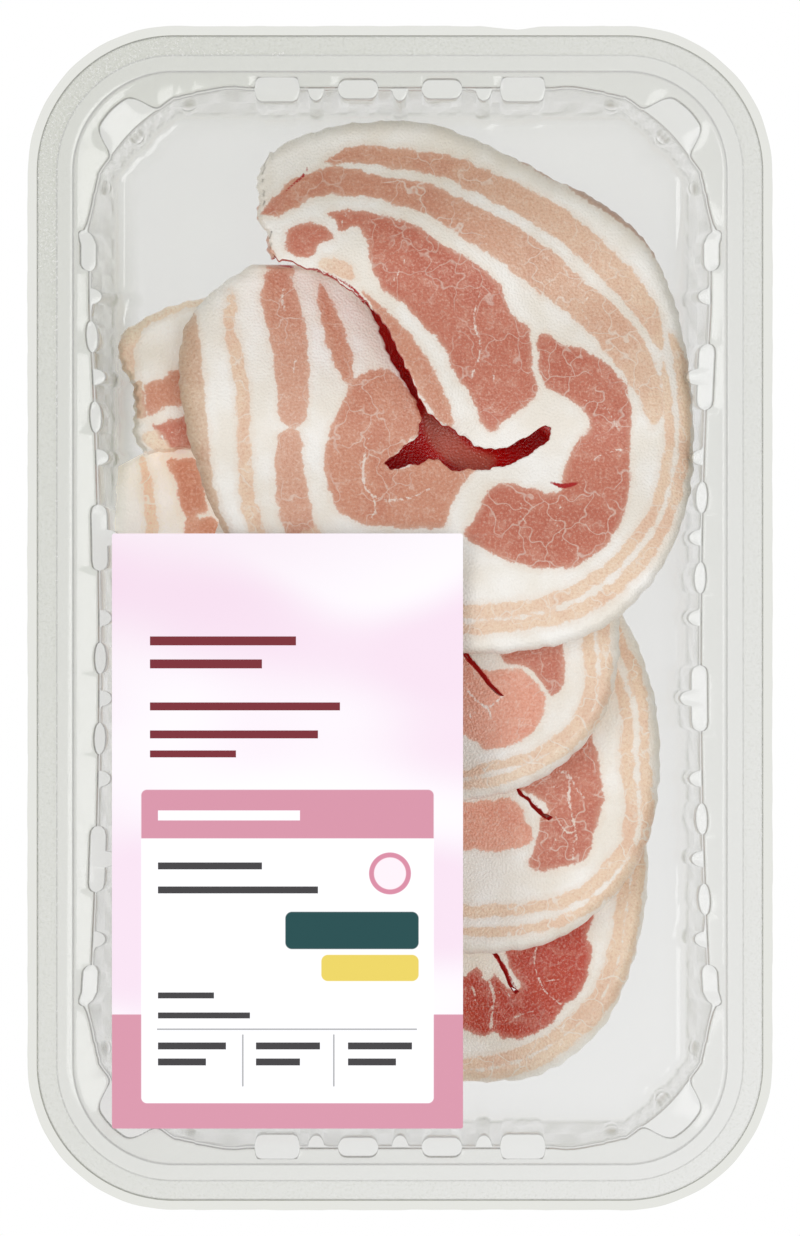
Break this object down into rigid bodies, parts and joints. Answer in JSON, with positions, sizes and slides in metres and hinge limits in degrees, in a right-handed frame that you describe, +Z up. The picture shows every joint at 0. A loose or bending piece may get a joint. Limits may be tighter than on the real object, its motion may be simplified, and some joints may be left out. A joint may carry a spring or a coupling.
{
  "type": "pork belly slices pack",
  "caption": "Sealed clear tray of curled raw pork belly slices laid one over the next, with a flat lidding film and a plain pink paper label.",
  "frame": {"origin": "on the table under the middle of the tray", "axes": "+Y along the pack towards the first slice, +X across it, +Z up through the film"},
  "size_m": [0.1492, 0.237, 0.04],
  "materials": {
    "clear_tray": "clear thermoformed sheet, glossy",
    "clear_film": "clear flexible film, glossy",
    "label_paper": "coated paper, satin",
    "raw_pork": "moist raw lean and fat in layers"
  },
  "bodies": {
    "root": {"tray": "clear_tray", "lid_film": "clear_film", "label": "label_paper", "pork_slice_1": "raw_pork", "pork_slice_2": "raw_pork", "pork_slice_3": "raw_pork", "pork_slice_4": "raw_pork"}
  },
  "joints": []
}
